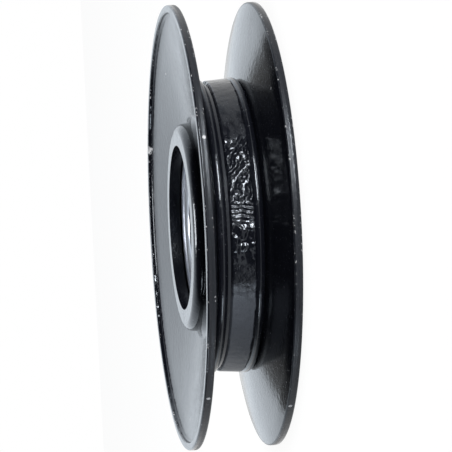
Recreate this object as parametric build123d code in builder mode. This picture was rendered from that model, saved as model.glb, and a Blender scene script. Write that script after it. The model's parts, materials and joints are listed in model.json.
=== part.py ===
"""Wire rope sheave: two turned hub halves, two pressed flanges, welds and a trapped ball bearing.

The Z axis is the axle's axis, and the origin is the middle of the sheave.
Everything is in millimetres. The upper pieces are mirrored for the lower ones.
"""

import os

from math import atan2, cos, radians, sin

from build123d import *

# ---------------------------------------------------------------- driving sizes

# Flanges: pressed sheet, coned outwards, with an edge turned up at the rim.
rim_radius = 63.5
overall_width = 25.4
rim_band = 2.3
sheet_thickness = 1.5
lip_thickness = 2.2
rim_corner = 0.4
lip_root = 0.5

# Hub halves: turned steel, with a wall round the bearing and a lip over each side of it.
hub_wall = 3.7
hub_width = 22.4
lip_overlap = 2.5
hub_rounding = 2.4
mouth_relief = 0.6
mouth_corner = 0.12

# Groove floor: a rounded bead on each half and a welding vee between them.
floor_radius = 40.8
floor_half_width = 6.48
bead_rise = 1.5
bead_radius = 1.4
vee_half_width = 2.9
vee_depth = 1.9

# Seam weld: it stands proud of the vee and runs on over the lower bead.
seam_crown_upper = 0.75
seam_crown_lower = 1.3
seam_reach = 4.4
seam_toe = 0.45

# Fillet welds between each flange and its hub half.
fillet_weld_leg = 2.6

# Deep groove ball bearing, 20 x 52 x 15, with a pressed cage and two shields.
bearing_bore_radius = 10.0
bearing_outer_radius = 26.0
bearing_width = 15.0
bearing_corner = 1.0
inner_ring_wall = 4.4
outer_ring_wall = 3.7
ball_radius = 4.7625
ball_count = 7
groove_conformity = 1.05
cage_sheet = 0.8
cage_width = 3.4
rivet_radius = 0.8
rivet_head_radius = 1.3
rivet_head_height = 0.45
shield_sheet = 0.5
shield_recess = 0.55
shield_seat = 0.6
shield_step = 0.5
shield_step_width = 1.6

# Fits and clearances.
seat_clearance = 0.01
flange_clearance = 0.02
raceway_clearance = 0.02
pocket_clearance = 0.08
shield_clearance = 0.15

# ---------------------------------------------------------------- derived places

half_width = overall_width / 2
mouth_height = hub_width / 2
bearing_face = bearing_width / 2
rim_edge_height = half_width - rim_band
lip_radius = rim_radius - lip_thickness
flank_slope = (rim_edge_height - floor_half_width) / (rim_radius - floor_radius)
flank_angle = atan2(flank_slope, 1)
sheet_rise = sheet_thickness / cos(flank_angle)


def flank_height(radius):
    """Height of the flange's groove side at a radius."""
    return floor_half_width + (radius - floor_radius) * flank_slope


def face_height(radius):
    """Height of the flange's outer face at a radius."""
    return flank_height(radius) + sheet_rise


seat_radius = bearing_outer_radius + seat_clearance
hub_radius = bearing_outer_radius + hub_wall
mouth_radius = bearing_outer_radius - lip_overlap
flange_bore_radius = hub_radius + flange_clearance
bead_centre_radius = floor_radius + bead_rise - bead_radius
bead_centre_height = flank_height(bead_centre_radius) - bead_radius / cos(flank_angle)
vee_root_radius = floor_radius - vee_depth

inner_land_radius = bearing_bore_radius + inner_ring_wall
outer_land_radius = bearing_outer_radius - outer_ring_wall
pitch_radius = (bearing_bore_radius + bearing_outer_radius) / 2
groove_radius = ball_radius * groove_conformity
outer_groove_centre = pitch_radius + ball_radius + raceway_clearance - groove_radius
inner_groove_centre = pitch_radius - ball_radius - raceway_clearance + groove_radius
shield_top = bearing_face - shield_recess
shield_rim_top = shield_top - shield_step
shield_rim_bottom = shield_rim_top - shield_sheet
shield_seat_radius = outer_land_radius + shield_seat
shield_inner_radius = inner_land_radius + shield_clearance
cage_inner_radius = pitch_radius - cage_width / 2
cage_outer_radius = pitch_radius + cage_width / 2
pocket_radius = ball_radius + pocket_clearance
ball_pitch_angle = 360 / ball_count


def export(piece, label):
    """Label a finished piece and write it as its own STEP file."""
    piece.label = label
    export_step(piece, f"parts/{label}.step")


os.makedirs("parts", exist_ok=True)

# ---------------------------------------------------------------- flanges

with BuildPart() as upper_flange:
    with BuildSketch(Plane.XZ) as flange_section:
        with BuildLine():
            Polyline(
                (flange_bore_radius, flank_height(flange_bore_radius)),
                (rim_radius, rim_edge_height),
                (rim_radius, half_width),
                (lip_radius, half_width),
                (lip_radius, face_height(lip_radius)),
                (flange_bore_radius, face_height(flange_bore_radius)),
                close=True,
            )
        make_face()
        lip_root_corner = flange_section.vertices().group_by(Axis.X)[1].sort_by(Axis.Y)[0]
        fillet(lip_root_corner, radius=lip_root)
        lip_top_corners = flange_section.vertices().group_by(Axis.Y)[-1]
        fillet(lip_top_corners, radius=rim_corner)
        groove_side_corner = flange_section.vertices().group_by(Axis.X)[-1].sort_by(Axis.Y)[0]
        fillet(groove_side_corner, radius=rim_corner)
    revolve(axis=Axis.Z)

export(upper_flange.part, "upper_flange")

with BuildPart() as lower_flange:
    add(upper_flange.part.mirror(Plane.XY))

export(lower_flange.part, "lower_flange")

# ---------------------------------------------------------------- hub halves

with BuildPart() as upper_hub_half:
    with BuildSketch(Plane.XZ) as hub_section:
        with BuildLine():
            Polyline(
                (seat_radius, 0),
                (vee_root_radius, 0),
                (floor_radius, vee_half_width),
                (floor_radius, flank_height(floor_radius)),
                (hub_radius, flank_height(hub_radius)),
                (hub_radius, mouth_height),
                (mouth_radius, mouth_height),
                (mouth_radius, bearing_face),
                (seat_radius, bearing_face),
                close=True,
            )
        make_face()
        mouth_edge, hub_edge = hub_section.vertices().group_by(Axis.Y)[-1].sort_by(Axis.X)
        fillet(hub_edge, radius=hub_rounding)
        fillet(mouth_edge, radius=mouth_corner)
        lip_edge = hub_section.vertices().group_by(Axis.X)[0].sort_by(Axis.Y)[0]
        chamfer(lip_edge, length=mouth_relief)
        with Locations((bead_centre_radius, bead_centre_height)):
            Circle(bead_radius)
    revolve(axis=Axis.Z)

export(upper_hub_half.part, "upper_hub_half")

with BuildPart() as lower_hub_half:
    add(upper_hub_half.part.mirror(Plane.XY))

export(lower_hub_half.part, "lower_hub_half")

# ---------------------------------------------------------------- welds

with BuildPart() as seam_weld:
    with BuildSketch(Plane.XZ) as seam_section:
        with BuildLine():
            Polyline(
                (vee_root_radius, 0),
                (floor_radius, vee_half_width),
                (floor_radius + seam_crown_upper, vee_half_width - seam_toe),
                (floor_radius + seam_crown_lower, -seam_reach),
                (floor_radius, -seam_reach - seam_toe),
                (floor_radius, -vee_half_width),
                close=True,
            )
        make_face()
        crown_edges = seam_section.vertices().group_by(Axis.X)[-2:]
        fillet([corner for group in crown_edges for corner in group], radius=seam_toe / 2)
    revolve(axis=Axis.Z)
    add(lower_hub_half.part, mode=Mode.SUBTRACT)

export(seam_weld.part, "seam_weld")

with BuildPart() as upper_flange_weld:
    with BuildSketch(Plane.XZ):
        with BuildLine():
            weld_toe_radius = hub_radius + fillet_weld_leg * cos(flank_angle)
            weld_corner = (hub_radius, face_height(hub_radius))
            weld_top = (hub_radius, face_height(hub_radius) + fillet_weld_leg)
            weld_toe = (weld_toe_radius, face_height(weld_toe_radius))
            Line(weld_corner, weld_toe)
            TangentArc(weld_toe, weld_top, tangent=(-cos(flank_angle), -sin(flank_angle)))
            Line(weld_top, weld_corner)
        make_face()
    revolve(axis=Axis.Z)

export(upper_flange_weld.part, "upper_flange_weld")

with BuildPart() as lower_flange_weld:
    add(upper_flange_weld.part.mirror(Plane.XY))

export(lower_flange_weld.part, "lower_flange_weld")

# ---------------------------------------------------------------- bearing rings

with BuildPart() as bearing_outer_ring:
    with BuildSketch(Plane.XZ) as outer_ring_section:
        with BuildLine():
            Polyline(
                (outer_land_radius, 0),
                (outer_land_radius, shield_rim_bottom),
                (shield_seat_radius, shield_rim_bottom),
                (shield_seat_radius, bearing_face),
                (bearing_outer_radius, bearing_face),
                (bearing_outer_radius, 0),
                close=True,
            )
        make_face()
        mirror(about=Plane.XZ)
        fillet(outer_ring_section.vertices().group_by(Axis.X)[-1], radius=bearing_corner)
        with Locations((outer_groove_centre, 0)):
            Circle(groove_radius, mode=Mode.SUBTRACT)
    revolve(axis=Axis.Z)

export(bearing_outer_ring.part, "bearing_outer_ring")

with BuildPart() as bearing_inner_ring:
    with BuildSketch(Plane.XZ) as inner_ring_section:
        with Locations(((bearing_bore_radius + inner_land_radius) / 2, 0)):
            Rectangle(inner_land_radius - bearing_bore_radius, bearing_width)
        fillet(inner_ring_section.vertices().group_by(Axis.X)[0], radius=bearing_corner)
        with Locations((inner_groove_centre, 0)):
            Circle(groove_radius, mode=Mode.SUBTRACT)
    revolve(axis=Axis.Z)

export(bearing_inner_ring.part, "bearing_inner_ring")

# ---------------------------------------------------------------- balls, cage and rivets

for ball_index in range(ball_count):
    ball_angle = radians(ball_index * ball_pitch_angle)
    ball_place = (pitch_radius * cos(ball_angle), pitch_radius * sin(ball_angle), 0)
    with BuildPart() as ball:
        with Locations(ball_place):
            Sphere(ball_radius)
    export(ball.part, f"ball_{ball_index + 1}")

with BuildPart() as upper_cage_half:
    with BuildSketch():
        Circle(cage_outer_radius)
    extrude(amount=cage_sheet)
    with PolarLocations(pitch_radius, ball_count):
        Sphere(pocket_radius + cage_sheet)
    with BuildSketch():
        Circle(cage_outer_radius)
        Circle(cage_inner_radius, mode=Mode.SUBTRACT)
    extrude(amount=pocket_radius + 2 * cage_sheet, mode=Mode.INTERSECT)
    with PolarLocations(pitch_radius, ball_count):
        Sphere(pocket_radius, mode=Mode.SUBTRACT)
    with PolarLocations(pitch_radius, ball_count, start_angle=ball_pitch_angle / 2):
        Hole(rivet_radius, depth=4 * cage_sheet)

export(upper_cage_half.part, "upper_cage_half")

with BuildPart() as lower_cage_half:
    add(upper_cage_half.part.mirror(Plane.XY))

export(lower_cage_half.part, "lower_cage_half")

for rivet_index in range(ball_count):
    rivet_angle = radians((rivet_index + 0.5) * ball_pitch_angle)
    rivet_axis_place = (pitch_radius * cos(rivet_angle), pitch_radius * sin(rivet_angle))
    with BuildPart() as rivet:
        with BuildSketch(Plane.XY.offset(-cage_sheet)):
            with Locations(rivet_axis_place):
                Circle(rivet_radius)
        extrude(amount=2 * cage_sheet)
        for head_plane in (Plane.XY.offset(cage_sheet), Plane.XY.offset(-cage_sheet - rivet_head_height)):
            with BuildSketch(head_plane):
                with Locations(rivet_axis_place):
                    Circle(rivet_head_radius)
            extrude(amount=rivet_head_height)
    export(rivet.part, f"cage_rivet_{rivet_index + 1}")

# ---------------------------------------------------------------- shields

with BuildPart() as upper_shield:
    with BuildSketch(Plane.XZ):
        with BuildLine():
            step_radius = shield_seat_radius - shield_step_width
            Polyline(
                (shield_inner_radius, shield_top),
                (step_radius, shield_top),
                (step_radius + shield_step, shield_rim_top),
                (shield_seat_radius, shield_rim_top),
                (shield_seat_radius, shield_rim_bottom),
                (step_radius + shield_step - shield_sheet, shield_rim_bottom),
                (step_radius - shield_sheet, shield_top - shield_sheet),
                (shield_inner_radius, shield_top - shield_sheet),
                close=True,
            )
        make_face()
    revolve(axis=Axis.Z)

export(upper_shield.part, "upper_shield")

with BuildPart() as lower_shield:
    add(upper_shield.part.mirror(Plane.XY))

export(lower_shield.part, "lower_shield")
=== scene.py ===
"""Looks of a small welded wire rope sheave with a shielded ball bearing.

The axle runs along Z through the origin, and the wheel lies on its lower
flange. All lengths are metres. Angles round the wheel are degrees, measured
from the front (-Y) towards +X.
"""
import json
import logging
import math
from dataclasses import dataclass
from enum import Enum
from functools import cached_property
from typing import Callable, Optional, Sequence, Union

import bmesh
import bpy
from mathutils import Matrix, Vector, noise

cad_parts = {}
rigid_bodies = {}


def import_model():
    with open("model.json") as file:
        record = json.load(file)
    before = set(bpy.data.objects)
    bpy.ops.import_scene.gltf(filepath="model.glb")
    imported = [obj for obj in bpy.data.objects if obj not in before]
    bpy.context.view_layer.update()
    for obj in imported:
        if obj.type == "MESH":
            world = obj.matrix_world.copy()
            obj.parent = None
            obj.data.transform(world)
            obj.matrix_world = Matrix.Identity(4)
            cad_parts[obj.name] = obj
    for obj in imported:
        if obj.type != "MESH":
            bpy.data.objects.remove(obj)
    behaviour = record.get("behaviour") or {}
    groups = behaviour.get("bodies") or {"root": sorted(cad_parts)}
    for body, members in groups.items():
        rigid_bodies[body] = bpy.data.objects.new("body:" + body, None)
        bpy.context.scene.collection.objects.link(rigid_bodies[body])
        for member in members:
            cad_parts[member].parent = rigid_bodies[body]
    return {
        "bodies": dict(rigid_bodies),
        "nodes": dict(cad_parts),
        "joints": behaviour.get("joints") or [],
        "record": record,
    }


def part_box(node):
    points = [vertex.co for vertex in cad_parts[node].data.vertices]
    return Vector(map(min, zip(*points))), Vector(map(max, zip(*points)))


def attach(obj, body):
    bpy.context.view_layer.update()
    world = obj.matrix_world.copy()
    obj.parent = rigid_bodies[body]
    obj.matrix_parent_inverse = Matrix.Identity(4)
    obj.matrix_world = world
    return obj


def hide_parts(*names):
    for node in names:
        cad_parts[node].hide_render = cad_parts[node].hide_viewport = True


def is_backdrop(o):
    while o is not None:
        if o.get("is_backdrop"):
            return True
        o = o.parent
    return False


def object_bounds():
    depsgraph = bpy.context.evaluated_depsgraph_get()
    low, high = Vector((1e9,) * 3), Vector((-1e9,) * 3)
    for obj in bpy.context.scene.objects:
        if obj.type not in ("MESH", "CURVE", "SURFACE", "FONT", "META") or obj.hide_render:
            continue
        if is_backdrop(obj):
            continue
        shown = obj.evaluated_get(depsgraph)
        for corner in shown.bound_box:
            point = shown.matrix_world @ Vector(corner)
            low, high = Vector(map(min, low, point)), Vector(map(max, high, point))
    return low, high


LOG = logging.getLogger("sheave")
MM = 0.001
Colour = tuple[float, float, float]
Setting = Union["Value", float, Colour, bpy.types.NodeSocket]
Tint = Union[Colour, bpy.types.NodeSocket]


class Surface(Enum):
    """The finishes that the wheel's pieces wear."""

    PAINT = "black_paint"
    RING = "ring_steel"
    SHIELD = "shield_steel"
    CAGE = "cage_steel"
    BALL = "ball_steel"


class WeldStyle(Enum):
    """How the seam's bead froze in one stretch of the groove floor."""

    PLAIN = "plain"
    FOLDS = "folds"
    LINES = "lines"
    BLOBS = "blobs"
    FLAT = "flat"


# ------------------------------------------------------------------ shader maths
class Value:
    """A number socket that Python's operators work on."""

    def __init__(self, graph: "Graph", socket: bpy.types.NodeSocket) -> None:
        """Wraps one output socket of a graph."""
        self.graph = graph
        self.socket = socket

    def maths(
        self, operation: str, *others: Union["Value", float], first: Optional[float] = None
    ) -> "Value":
        """Adds one Math node.

        Args:
            operation: the Math node's operation.
            others: the operands after this one.
            first: a number that goes before this value, for reflected forms.

        Returns:
            The node's result.
        """
        operands = [self, *others] if first is None else [first, self]
        made = self.graph.node(
            "ShaderNodeMath", {"operation": operation}, dict(enumerate(operands))
        )
        return Value(self.graph, made.outputs[0])

    def __add__(self, other: Union["Value", float]) -> "Value":
        """Adds."""
        return self.maths("ADD", other)

    __radd__ = __add__

    def __mul__(self, other: Union["Value", float]) -> "Value":
        """Multiplies."""
        return self.maths("MULTIPLY", other)

    __rmul__ = __mul__

    def __sub__(self, other: Union["Value", float]) -> "Value":
        """Subtracts."""
        return self.maths("SUBTRACT", other)

    def __rsub__(self, other: float) -> "Value":
        """Subtracts this value from a number."""
        return self.maths("SUBTRACT", first=other)

    def __truediv__(self, other: Union["Value", float]) -> "Value":
        """Divides."""
        return self.maths("DIVIDE", other)

    def least(self, other: Union["Value", float]) -> "Value":
        """Takes the smaller of two values."""
        return self.maths("MINIMUM", other)

    def step(self, low: float, high: float) -> "Value":
        """Rises smoothly from 0 at low to 1 at high, or falls where high is the smaller."""
        start, end, out = (low, high, (0.0, 1.0)) if low < high else (high, low, (1.0, 0.0))
        made = self.graph.node(
            "ShaderNodeMapRange",
            {"interpolation_type": "SMOOTHSTEP"},
            {0: self, 1: start, 2: end, 3: out[0], 4: out[1]},
        )
        return Value(self.graph, made.outputs[0])


class Graph:
    """The nodes of one material or of the world."""

    def __init__(self, owner: Union[bpy.types.Material, bpy.types.World]) -> None:
        """Starts with no nodes.

        Args:
            owner: the material or world that holds them.
        """
        owner.use_nodes = True
        self.owner = owner
        self.tree = owner.node_tree
        self.tree.nodes.clear()

    @classmethod
    def material(cls, name: str) -> "Graph":
        """Starts a new material."""
        return cls(bpy.data.materials.new(name))

    @cached_property
    def place(self) -> bpy.types.NodeSocket:
        """The point in the object's own coordinates."""
        return self.node("ShaderNodeTexCoord").outputs["Object"]

    @cached_property
    def parts(self) -> list[Value]:
        """The point's x, y and z."""
        split = self.node("ShaderNodeSeparateXYZ", inputs={0: self.place})
        return [Value(self, part) for part in split.outputs]

    @cached_property
    def radius(self) -> Value:
        """Distance from the axle."""
        x, y, _ = self.parts
        return (x * x + y * y).maths("SQRT")

    @cached_property
    def angle(self) -> Value:
        """Degrees round the wheel, from the front towards +X."""
        x, y, _ = self.parts
        return x.maths("ARCTAN2", y * -1.0) * (180.0 / math.pi)

    @cached_property
    def height(self) -> Value:
        """Place along the axle."""
        return self.parts[2]

    def node(
        self, kind: str, settings: Optional[dict] = None, inputs: Optional[dict] = None
    ) -> bpy.types.Node:
        """Adds any node.

        Args:
            kind: the node's type.
            settings: its settings, which are set first.
            inputs: numbers, colours, links or Values by socket.

        Returns:
            The node.
        """
        made = self.tree.nodes.new(kind)
        for key, setting in (settings or {}).items():
            setattr(made, key, setting)
        for key, value in (inputs or {}).items():
            source = value.socket if isinstance(value, Value) else value
            if isinstance(source, bpy.types.NodeSocket):
                self.tree.links.new(source, made.inputs[key])
            else:
                if isinstance(source, tuple) and made.inputs[key].type == "RGBA":
                    source = (*source, 1.0)
                made.inputs[key].default_value = source
        return made

    def noise(self, size: float, detail: float = 2.0, seed: float = 0.0) -> Value:
        """Gives noise of about 0 to 1.

        Args:
            size: the length of its features.
            detail: its octaves.
            seed: shifts the pattern.

        Returns:
            The noise.
        """
        moved = self.node(
            "ShaderNodeMapping", inputs={"Vector": self.place, "Location": (seed, seed, seed)}
        )
        return self._clouds(moved.outputs[0], size, detail)

    def _clouds(self, point: bpy.types.NodeSocket, size: float, detail: float) -> Value:
        """Adds a Noise Texture with features of one size."""
        made = self.node(
            "ShaderNodeTexNoise", inputs={"Vector": point, "Scale": 1.0 / size, "Detail": detail}
        )
        return Value(self, made.outputs[0])

    def rings(self, size: float, wander: float = 0.0) -> Value:
        """Gives fine concentric lines, as turning or grinding leaves them.

        Args:
            size: the lines' spacing.
            wander: how far the lines drift with the angle.

        Returns:
            A noise that changes with radius and height only.
        """
        line = self.radius + self.noise(0.01, 1.0) * wander
        joined = self.node("ShaderNodeCombineXYZ", inputs={0: line, 1: self.height, 2: 0.0})
        return self._clouds(joined.outputs[0], size, 3.0)

    def mix(self, factor: Union[Value, float], low: Tint, high: Tint) -> bpy.types.NodeSocket:
        """Mixes two colours by a factor."""
        made = self.node("ShaderNodeMix", {"data_type": "RGBA"}, {0: factor, 6: low, 7: high})
        return made.outputs[2]

    def bump(self, height: Value, depth: float) -> bpy.types.NodeSocket:
        """Turns a height of 0 to 1 into a normal, depth metres deep."""
        made = self.node(
            "ShaderNodeBump", inputs={"Height": height, "Distance": depth, "Strength": 1.0}
        )
        return made.outputs[0]

    def finish(self, **sockets: Setting) -> bpy.types.Material:
        """Adds the Principled shader.

        Args:
            sockets: its sockets, with _ for a space.

        Returns:
            The material.
        """
        named = {key.replace("_", " "): value for key, value in sockets.items()}
        shader = self.node("ShaderNodeBsdfPrincipled", inputs=named)
        self.node("ShaderNodeOutputMaterial", inputs={0: shader.outputs[0]})
        return self.owner


# ---------------------------------------------------------------------- finishes
@dataclass(frozen=True)
class Chip:
    """A place where the paint is knocked off.

    Attributes:
        angle: where it lies round the wheel, in degrees.
        radius: its distance from the axle.
        height: its place along the axle.
        size: its radius.
    """

    angle: float
    radius: float
    height: float
    size: float

    @property
    def centre(self) -> tuple[float, float, float]:
        """Its centre as a point."""
        turn = math.radians(self.angle)
        return (self.radius * math.sin(turn), -self.radius * math.cos(turn), self.height)


CHIPS: tuple[Chip, ...] = (
    Chip(156.0, 61.6 * MM, 12.7 * MM, 1.5 * MM),
    Chip(151.0, 62.6 * MM, 12.6 * MM, 0.8 * MM),
    Chip(118.0, 52.0 * MM, 9.9 * MM, 0.5 * MM),
    Chip(64.0, 46.0 * MM, 8.9 * MM, 0.4 * MM),
    Chip(-38.0, 49.5 * MM, 9.5 * MM, 0.45 * MM),
    Chip(-95.0, 55.5 * MM, 10.5 * MM, 0.5 * MM),
    Chip(3.0, 23.7 * MM, 11.0 * MM, 0.9 * MM),
    Chip(7.0, 24.0 * MM, 10.6 * MM, 0.5 * MM),
    Chip(21.0, 63.4 * MM, 11.2 * MM, 0.55 * MM),
    Chip(-47.0, 63.4 * MM, 11.4 * MM, 0.6 * MM),
    Chip(38.0, 58.0 * MM, -9.4 * MM, 0.5 * MM),
    Chip(-52.0, 63.4 * MM, -11.3 * MM, 0.7 * MM),
)


@dataclass(frozen=True)
class PaintFinish:
    """Gloss black enamel over steel, with orange peel, dust and chips.

    Attributes:
        colour: the enamel.
        dusty: the enamel under a film of dust.
        bare: steel in the chips.
        gloss: the lowest roughness.
        matt: how much rougher it gets in patches.
        peel: the orange peel's depth.
        weld: whether the surface is the seam's bead.
    """

    colour: Colour = (0.004, 0.0045, 0.007)
    dusty: Colour = (0.022, 0.024, 0.029)
    bare: Colour = (0.42, 0.42, 0.43)
    gloss: float = 0.09
    matt: float = 0.11
    peel: float = 0.05 * MM
    weld: bool = False

    def make(self) -> bpy.types.Material:
        """Builds the material."""
        graph = Graph.material("paint_on_weld" if self.weld else "gloss_black_paint")
        patches = graph.noise(9 * MM, 3.0)
        peel = graph.noise(1.3 * MM, 2.0, seed=3.0)
        specks = graph.noise(0.45 * MM, 1.0, seed=7.0).step(0.70, 0.78)
        drifts = graph.noise(16 * MM, 4.0, seed=11.0).step(0.50, 0.78)
        dust = drifts * graph.noise(0.8 * MM, 3.0).step(0.35, 0.7)
        worn = (self._chips(graph) + self._edges(graph)).least(1.0)
        groove_side = self._groove_side(graph)
        colour = graph.mix(dust * 0.55, self.colour, self.dusty)
        colour = graph.mix(specks * 0.35, colour, (0.12, 0.12, 0.13))
        rough = self.gloss + patches * self.matt + dust * 0.12 + specks * 0.2
        height = peel + specks * 0.5 - groove_side * graph.noise(0.35 * MM, 1.0, seed=5.0) * 0.8
        rough = rough + groove_side * 0.2
        if self.weld:
            edge = graph.angle + graph.noise(1.6 * MM, 3.0, seed=8.0) * 14.0 - 7.0
            flat = edge.step(-92.0, -80.0) * edge.step(-20.0, -34.0)
            grain = graph.noise(0.5 * MM, 4.0, seed=2.0)
            colour = graph.mix(flat * (0.5 + grain * 0.5), colour, (0.052, 0.057, 0.070))
            rough = rough + flat * 0.3
            height = height + grain * (0.4 + flat * 0.8)
        else:
            colour = graph.mix(worn, colour, self.bare)
            rough = rough + worn * 0.25
            height = height - worn * 1.6
        return graph.finish(
            Base_Color=colour,
            Roughness=rough,
            Normal=graph.bump(height, self.peel),
            IOR=1.42,
            Specular_Tint=(0.85, 0.92, 1.0),
        )

    def _groove_side(self, graph: Graph) -> Value:
        """Marks the half of each rim band that is next to the rope."""
        height = graph.height.maths("ABSOLUTE")
        return graph.radius.step(62.9 * MM, 63.3 * MM) * height.step(11.9 * MM, 11.4 * MM)

    def _edges(self, graph: Graph) -> Value:
        """Marks the rubbed spots on the corners of each rim band."""
        height = graph.height.maths("ABSOLUTE")
        corners = height.step(12.2 * MM, 12.5 * MM) + height.step(11.1 * MM, 10.8 * MM)
        outer = graph.radius.step(63.25 * MM, 63.42 * MM) * corners.least(1.0)
        inner = graph.radius.step(61.6 * MM, 61.4 * MM) * height.step(12.1 * MM, 12.3 * MM)
        spots = graph.noise(0.9 * MM, 3.0, seed=13.0).step(0.58, 0.66)
        clusters = graph.noise(7 * MM, 2.0, seed=17.0).step(0.46, 0.60)
        return (outer + inner).least(1.0) * spots * clusters

    def _chips(self, graph: Graph) -> Value:
        """Marks the chips, ragged by noise."""
        ragged = graph.noise(0.7 * MM, 3.0, seed=9.0)
        nearest: Optional[Value] = None
        for chip in CHIPS:
            gap = graph.node(
                "ShaderNodeVectorMath", {"operation": "DISTANCE"}, {0: graph.place, 1: chip.centre}
            )
            share = Value(graph, gap.outputs["Value"]) / chip.size
            nearest = share if nearest is None else nearest.least(share)
        return (nearest + ragged * 1.2).step(1.55, 1.35)


@dataclass(frozen=True)
class SteelFinish:
    """Bare bearing steel with marks round the axle.

    Attributes:
        name: the material's name.
        bright: the steel where it is clean.
        dull: the steel where it is stained.
        rough: its middle roughness.
        spread: how far the roughness wanders.
        pitch: the spacing of its ring marks.
        depth: the depth of its ring marks.
    """

    name: str
    bright: Colour
    dull: Colour
    rough: float
    spread: float
    pitch: float
    depth: float

    def make(self) -> bpy.types.Material:
        """Builds the material."""
        graph = Graph.material(self.name)
        rings = graph.rings(self.pitch, 0.02)
        stain = graph.noise(6 * MM, 4.0, seed=4.0).step(0.35, 0.7)
        spots = graph.noise(0.6 * MM, 1.0, seed=6.0).step(0.70, 0.76)
        colour = graph.mix(stain * 0.6 + rings * 0.25, self.bright, self.dull)
        colour = graph.mix(spots * 0.5, colour, tuple(part * 0.35 for part in self.dull))
        rough = self.rough + (rings - 0.5) * self.spread + spots * 0.15
        return graph.finish(
            Base_Color=colour,
            Metallic=1.0,
            Roughness=rough,
            Normal=graph.bump(rings, self.depth),
        )


FINISHES: dict[Surface, Union[PaintFinish, SteelFinish]] = {
    Surface.PAINT: PaintFinish(),
    Surface.RING: SteelFinish(
        name="ground_ring_steel",
        bright=(0.50, 0.52, 0.56),
        dull=(0.30, 0.32, 0.36),
        rough=0.30,
        spread=0.16,
        pitch=0.25 * MM,
        depth=0.004 * MM,
    ),
    Surface.SHIELD: SteelFinish(
        name="pressed_shield_steel",
        bright=(0.62, 0.64, 0.68),
        dull=(0.46, 0.48, 0.52),
        rough=0.36,
        spread=0.14,
        pitch=0.6 * MM,
        depth=0.010 * MM,
    ),
    Surface.CAGE: SteelFinish(
        name="pressed_cage_steel",
        bright=(0.50, 0.47, 0.42),
        dull=(0.32, 0.29, 0.25),
        rough=0.38,
        spread=0.10,
        pitch=0.5 * MM,
        depth=0.006 * MM,
    ),
    Surface.BALL: SteelFinish(
        name="polished_ball_steel",
        bright=(0.66, 0.67, 0.70),
        dull=(0.56, 0.57, 0.60),
        rough=0.12,
        spread=0.04,
        pitch=0.8 * MM,
        depth=0.001 * MM,
    ),
}


# ------------------------------------------------------------------------ pieces
def smooth(low: float, high: float, value: float) -> float:
    """Rises smoothly from 0 at low to 1 at high, or falls where high is the smaller."""
    share = min(max((value - low) / (high - low), 0.0), 1.0)
    return share * share * (3.0 - 2.0 * share)


def spun(
    outline: Sequence[tuple[float, float]],
    corners: dict[int, float],
    steps: int,
    cuts: dict[int, int],
) -> bmesh.types.BMesh:
    """Spins a closed outline round the axle.

    Args:
        outline: radius and height of each corner, in order.
        corners: the rounding of some corners, by their place in the outline.
        steps: the number of steps round the wheel.
        cuts: how many times the edge after a corner is cut.

    Returns:
        The mesh.
    """
    mesh = bmesh.new()
    points = [mesh.verts.new((0.0, -radius, height)) for radius, height in outline]
    edges = [mesh.edges.new(pair) for pair in zip(points, points[1:] + points[:1])]
    for place, amount in cuts.items():
        bmesh.ops.subdivide_edges(mesh, edges=[edges[place]], cuts=amount)
    for place, amount in corners.items():
        corner = Vector((0.0, -outline[place][0], outline[place][1]))
        nearest = min(mesh.verts, key=lambda vertex: (vertex.co - corner).length)
        bmesh.ops.bevel(
            mesh,
            geom=[nearest],
            offset=amount,
            segments=3,
            profile=0.5,
            affect="VERTICES",
            material=-1,
        )
    bmesh.ops.spin(
        mesh,
        geom=mesh.verts[:] + mesh.edges[:],
        cent=(0, 0, 0),
        axis=(0, 0, 1),
        angle=2 * math.pi,
        steps=steps,
        use_merge=True,
    )
    bmesh.ops.remove_doubles(mesh, verts=mesh.verts[:], dist=0.002 * MM)
    bmesh.ops.recalc_face_normals(mesh, faces=mesh.faces[:])
    return mesh


def shaped(
    mesh: bmesh.types.BMesh, push: Callable[[float, float, float], tuple[float, float]]
) -> None:
    """Moves each vertex of a spun piece in its own radial plane.

    Args:
        mesh: the piece's mesh.
        push: gives the outward and upward move at an angle, radius and height.
    """
    for vertex in mesh.verts:
        x, y, z = vertex.co
        radius = math.hypot(x, y)
        out, up = push(math.degrees(math.atan2(x, -y)), radius, z)
        vertex.co = (x * (1 + out / radius), y * (1 + out / radius), z + up)


def piece(
    mesh: bmesh.types.BMesh, name: str, material: bpy.types.Material, node: str
) -> bpy.types.Object:
    """Makes an object on the wheel that stands for a CAD node.

    Args:
        mesh: its mesh, which is freed.
        name: its name.
        material: its material.
        node: the node that it replaces.

    Returns:
        The object.
    """
    for face in mesh.faces:
        face.smooth = True
    data = bpy.data.meshes.new(name)
    mesh.to_mesh(data)
    mesh.free()
    data.set_sharp_from_angle(angle=math.radians(38.0))
    data.materials.append(material)
    made = bpy.data.objects.new(name, data)
    bpy.context.scene.collection.objects.link(made)
    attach(made, "wheel")
    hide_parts(node)
    LOG.info("%s stands for %s: %d faces", name, node, len(data.polygons))
    return made


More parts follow.
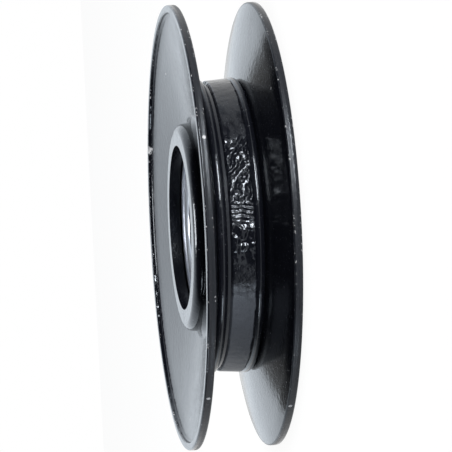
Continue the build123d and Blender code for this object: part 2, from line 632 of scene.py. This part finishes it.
@dataclass
class Flange:
    """A coned sheet flange with a turned rim band.

    Attributes:
        side: 1 for the upper flange, -1 for the lower one.
        rim: the wheel's radius.
        half_width: half the wheel's width.
        lip: the radius where the rim band steps down to the face.
        bore: the radius at the hub.
        floor_radius: the radius that the cone's height is counted from.
        floor_height: the inner wall's height there.
        slope: how fast the cone opens.
        thickness: the sheet's thickness along the axle.
        corner: the rim corners' rounding.
        root: the rounding at the band's foot.
        dents: angle, width in degrees and depth of each knock in the rim band's inner edge.
    """

    side: int
    rim: float
    half_width: float
    lip: float = 61.3 * MM
    bore: float = 29.7 * MM
    floor_radius: float = 40.8 * MM
    floor_height: float = 6.48 * MM
    slope: float = 0.1727
    thickness: float = 1.522 * MM
    corner: float = 0.4 * MM
    root: float = 0.5 * MM
    dents: tuple[tuple[float, float, float], ...] = (
        (156.0, 5.0, 0.5 * MM),
        (151.0, 2.0, 0.3 * MM),
        (-126.0, 3.0, 0.25 * MM),
        (74.0, 2.0, 0.2 * MM),
    )

    def wall(self, radius: float) -> float:
        """Height of the groove's wall at a radius."""
        return self.floor_height + (radius - self.floor_radius) * self.slope

    def push(self, angle: float, radius: float, height: float) -> tuple[float, float]:
        """Ragged edges of the rim band, and a sheet that isn't quite true."""
        turn = math.radians(angle)
        ring = Vector((math.cos(turn), math.sin(turn), 0.3 * self.side))
        up = 0.05 * MM * noise.noise(ring * 2.2) * smooth(self.bore, self.rim, radius)
        out = 0.0
        top = abs(height) > self.half_width - 0.5 * MM
        if top and radius < self.lip + 0.3 * MM:
            out = 0.10 * MM * noise.noise(ring * 34.0) + 0.06 * MM * noise.noise(ring * 120.0)
            for middle, width, depth in self.dents:
                gap = abs((angle - middle + 180.0) % 360.0 - 180.0)
                out += depth * smooth(width, 0.0, gap) * (0.7 + 0.6 * noise.noise(ring * 60.0))
        elif radius > self.rim - 0.6 * MM:
            out = -0.03 * MM * abs(noise.noise(ring * 40.0 + Vector((0, 0, height * 900.0))))
            up = 0.0
        return out, up

    def build(self, material: bpy.types.Material) -> bpy.types.Object:
        """Spins, knocks and paints the flange."""
        name = "upper" if self.side > 0 else "lower"
        s = self.side
        outline = [
            (self.bore, s * self.wall(self.bore)),
            (self.rim, s * self.wall(self.rim)),
            (self.rim, s * self.half_width),
            (self.lip, s * self.half_width),
            (self.lip, s * (self.wall(self.lip) + self.thickness)),
            (self.bore, s * (self.wall(self.bore) + self.thickness)),
        ]
        corners = {1: self.corner, 2: self.corner, 3: self.corner, 4: self.root}
        mesh = spun(outline, corners, 960, {0: 5, 1: 4, 2: 2, 4: 5})
        shaped(mesh, self.push)
        return piece(mesh, f"{name}_flange_dressed", material, f"{name}_flange")


@dataclass
class SeamWeld:
    """The bead that joins the hub halves in the groove's floor.

    Attributes:
        low: its lower edge's height.
        high: its upper edge's height.
        crown: its greatest radius.
        root: the radius of the joint that it fills.
        floor: the groove floor's radius.
        stretches: start angle, end angle and style of each stretch.
    """

    low: float
    high: float
    crown: float
    root: float = 38.9 * MM
    floor: float = 40.8 * MM
    stretches: tuple[tuple[float, float, WeldStyle], ...] = (
        (66.0, 34.0, WeldStyle.PLAIN),
        (34.0, 8.0, WeldStyle.FOLDS),
        (8.0, 0.0, WeldStyle.LINES),
        (0.0, -14.0, WeldStyle.BLOBS),
        (-24.0, -86.0, WeldStyle.FLAT),
        (150.0, 96.0, WeldStyle.FOLDS),
        (-100.0, -150.0, WeldStyle.LINES),
        (-160.0, -176.0, WeldStyle.BLOBS),
    )

    def ridge(self, style: WeldStyle, along: float, height: float, spot: Vector) -> float:
        """Height of one style's surface.

        Args:
            style: the stretch's style.
            along: distance round the groove.
            height: place along the axle.
            spot: the point, for noise.

        Returns:
            The outward move.
        """
        warp = noise.noise(spot * 320.0) * 0.9 + noise.noise(spot * 900.0) * 0.35
        if style is WeldStyle.FOLDS:
            fold = (along * 0.62 + height * 0.95) / (3.0 * MM) + warp * 0.7
            crest = 0.55 * MM * (abs(math.sin(math.pi * fold)) - 0.55)
            return crest + 0.10 * MM * noise.noise(spot * 1500.0)
        if style is WeldStyle.LINES:
            line = (along - 60.0 * height * abs(height)) / (1.3 * MM) + warp * 0.6
            return 0.13 * MM * math.sin(2 * math.pi * line)
        if style is WeldStyle.BLOBS:
            return 0.75 * MM * noise.noise(spot * 420.0) + 0.22 * MM * noise.noise(spot * 1000.0)
        if style is WeldStyle.FLAT:
            return -0.12 * MM + 0.05 * MM * noise.noise(spot * 700.0)
        return 0.05 * MM * noise.noise(spot * 260.0)

    def push(self, angle: float, radius: float, height: float) -> tuple[float, float]:
        """Freezes the bead's surface and lets its edges wander."""
        if radius < self.floor - 0.5 * MM:
            return 0.0, 0.0
        turn = math.radians(angle)
        along = self.floor * turn
        spot = Vector((radius * math.sin(turn), -radius * math.cos(turn), height))
        inside = smooth(self.low, self.low + 0.9 * MM, height)
        inside *= smooth(self.high, self.high - 0.7 * MM, height)
        out = 0.04 * MM * noise.noise(spot * 500.0)
        for start, end, style in self.stretches:
            share = smooth(end - 2.0, end + 2.0, angle) * smooth(start + 2.0, start - 2.0, angle)
            if share > 0.0:
                out += share * self.ridge(style, along, height, spot)
        edge = Vector((math.sin(turn), math.cos(turn), 0.0))
        lower = smooth(-1.5 * MM, self.low, height)
        upper = smooth(1.6 * MM, self.high, height)
        waves = ((9.0, 0.45), (42.0, 0.28), (130.0, 0.12))
        ragged = sum(noise.noise(edge * pitch) * share for pitch, share in waves)
        return out * inside, MM * ragged * (lower * 0.9 - upper * 0.35)

    def build(self, material: bpy.types.Material) -> bpy.types.Object:
        """Spins, freezes and paints the bead."""
        outline = [
            (self.root, 0.0),
            (self.floor - 0.1 * MM, self.low),
            (self.crown, self.low + 0.55 * MM),
            (self.crown - 0.5 * MM, self.high - 0.5 * MM),
            (self.floor - 0.1 * MM, self.high),
        ]
        mesh = spun(outline, {2: 0.3 * MM, 3: 0.3 * MM}, 1600, {2: 24})
        shaped(mesh, self.push)
        return piece(mesh, "seam_weld_dressed", material, "seam_weld")


@dataclass
class CarriedNodes:
    """CAD nodes that keep their shape and get a finish.

    Attributes:
        finishes: the part of a node's name that tells its finish, tried in order.
    """

    finishes: tuple[tuple[str, Surface], ...] = (
        ("shield", Surface.SHIELD),
        ("rivet", Surface.CAGE),
        ("cage", Surface.CAGE),
        ("ball", Surface.BALL),
        ("bearing", Surface.RING),
        ("", Surface.PAINT),
    )

    def surface(self, node: str) -> Surface:
        """Finds a node's finish by its name."""
        return next(surface for word, surface in self.finishes if word in node)

    def dress(self, frame: dict, materials: dict[Surface, bpy.types.Material]) -> None:
        """Gives every carried node its material.

        Args:
            frame: the loaded frame.
            materials: the material of each finish.
        """
        for name, node in frame["nodes"].items():
            surface = self.surface(name)
            if not node.material_slots:
                node.data.materials.append(None)
            for place in node.material_slots:
                place.material = materials[surface]
            LOG.info("%s wears %s", name, surface.value)


# ------------------------------------------------------------------------ studio
@dataclass(frozen=True)
class Softbox:
    """A rectangular lamp.

    Attributes:
        name: its name.
        place: its centre.
        size: its width and height.
        radiance: how bright its face is.
        colour: its colour.
    """

    name: str
    place: tuple[float, float, float]
    size: tuple[float, float]
    radiance: float
    colour: Colour = (1.0, 1.0, 1.0)

    def build(self) -> None:
        """Makes the lamp, facing the wheel."""
        lamp = bpy.data.lights.new(self.name, "AREA")
        lamp.shape = "RECTANGLE"
        lamp.size, lamp.size_y = self.size
        lamp.energy = 4.0 * self.radiance * self.size[0] * self.size[1]
        lamp.color = self.colour
        made = bpy.data.objects.new(self.name, lamp)
        facing = (-Vector(self.place)).to_track_quat("-Z", "Y").to_matrix().to_4x4()
        made.matrix_world = Matrix.Translation(self.place) @ facing
        bpy.context.scene.collection.objects.link(made)


@dataclass
class Studio:
    """Camera, lamps, floor and surroundings.

    Attributes:
        eye: the camera's place.
        aim: the point that it looks at.
        roll: its turn about its own axis, in degrees.
        lens: its focal length in millimetres.
        lamps: the softboxes.
    """

    eye: tuple[float, float, float] = (-0.00583, -0.65008, 0.09428)
    aim: tuple[float, float, float] = (-0.00018, -0.00030, -0.00207)
    roll: float = 92.906
    lens: float = 182.43
    lamps: tuple[Softbox, ...] = (
        Softbox("overhead_softbox", (0.0, 0.02, 0.50), (0.20, 0.20), 15.0),
        Softbox("side_strip", (0.45, -0.66, 0.035), (0.42, 0.08), 60.0),
        Softbox("low_strip", (-0.62, -0.30, 0.06), (0.24, 0.10), 10.0, (0.88, 0.94, 1.0)),
    )

    def build(self, ground: float) -> None:
        """Sets up the whole studio.

        Args:
            ground: the floor's height.
        """
        self._camera()
        for lamp in self.lamps:
            lamp.build()
        self._floor(ground)
        self._world()
        bpy.context.scene.view_settings.view_transform = "Standard"

    def _camera(self) -> None:
        """Places the camera with its roll."""
        forward = (Vector(self.aim) - Vector(self.eye)).normalized()
        level = forward.cross(Vector((0, 0, 1))).normalized()
        upright = level.cross(forward)
        turn = math.radians(self.roll)
        up = upright * math.cos(turn) + level * math.sin(turn)
        right = forward.cross(up)
        axes = Matrix((right, up, -forward)).transposed().to_4x4()
        data = bpy.data.cameras.new("camera")
        data.lens, data.sensor_width = self.lens, 36.0
        data.clip_start, data.clip_end = 0.01, 50.0
        camera = bpy.data.objects.new("camera", data)
        camera.matrix_world = Matrix.Translation(self.eye) @ axes
        bpy.context.scene.collection.objects.link(camera)
        bpy.context.scene.camera = camera

    def _floor(self, ground: float) -> None:
        """Lays a pale floor that shows near white and keeps the wheel's shadow."""
        mesh = bmesh.new()
        bmesh.ops.create_grid(mesh, x_segments=2, y_segments=2, size=0.55)
        bmesh.ops.translate(mesh, verts=mesh.verts[:], vec=(0, 0, ground))
        data = bpy.data.meshes.new("floor")
        mesh.to_mesh(data)
        mesh.free()
        graph = Graph.material("pale_floor")
        path = graph.node("ShaderNodeLightPath").outputs
        camera, glossy, through = (
            Value(graph, path[f"Is {kind} Ray"]) for kind in ("Camera", "Glossy", "Transmission")
        )
        seen = camera + glossy + through
        cloudy = graph.mix(graph.noise(0.3), (0.90, 0.90, 0.90), (0.94, 0.94, 0.94))
        matt = graph.node("ShaderNodeBsdfDiffuse", inputs={"Color": cloudy})
        glow = graph.node("ShaderNodeEmission", inputs={"Color": (1.0, 1.0, 1.0), "Strength": 1.0})
        both = graph.node(
            "ShaderNodeMixShader",
            inputs={0: seen.least(1.0) * 0.93, 1: matt.outputs[0], 2: glow.outputs[0]},
        )
        graph.node("ShaderNodeOutputMaterial", inputs={0: both.outputs[0]})
        data.materials.append(graph.owner)
        floor = bpy.data.objects.new("floor", data)
        bpy.context.scene.collection.objects.link(floor)
        floor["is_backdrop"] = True

    def _world(self) -> None:
        """Gives surroundings that are white behind the wheel and dim in front of it."""
        world = bpy.data.worlds.new("surroundings")
        bpy.context.scene.world = world
        graph = Graph(world)
        toward = graph.node("ShaderNodeTexCoord").outputs["Generated"]
        parts = graph.node("ShaderNodeSeparateXYZ", inputs={0: toward}).outputs
        behind = Value(graph, parts[1]).step(-0.05, 0.55)
        path = graph.node("ShaderNodeLightPath").outputs
        through = Value(graph, path["Is Transmission Ray"])
        glossy = (Value(graph, path["Is Glossy Ray"]) + through).least(1.0)
        seen = Value(graph, path["Is Camera Ray"])
        level = 0.015 + behind * (1.1 + glossy * 0.25)
        strength = seen + (1.0 - seen) * level
        tint = graph.mix(seen, (0.86, 0.93, 1.0), (1.0, 1.0, 1.0))
        sky = graph.node("ShaderNodeBackground", inputs={"Color": tint, "Strength": strength})
        graph.node("ShaderNodeOutputWorld", inputs={0: sky.outputs[0]})


def plain(bounds: Sequence[Sequence[float]]) -> list[list[float]]:
    """Turns a box's corners into plain lists."""
    return [[float(part) for part in corner] for corner in bounds]


def main() -> None:
    """Builds the studio, the dressed pieces and the finishes, and keeps the sizes."""
    logging.basicConfig(level=logging.INFO, format="%(message)s")
    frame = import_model()
    cad_box = plain(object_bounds())
    low, high = cad_box
    Studio().build(low[2])
    materials = {surface: finish.make() for surface, finish in FINISHES.items()}
    CarriedNodes().dress(frame, materials)
    for side in (1, -1):
        Flange(side, rim=high[0], half_width=high[2]).build(materials[Surface.PAINT])
    seam_low, seam_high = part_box("seam_weld")
    weld_paint = PaintFinish(weld=True, gloss=0.10, peel=0.06 * MM).make()
    SeamWeld(seam_low[2], seam_high[2], seam_high[0]).build(weld_paint)


if __name__ == "__main__":
    main()
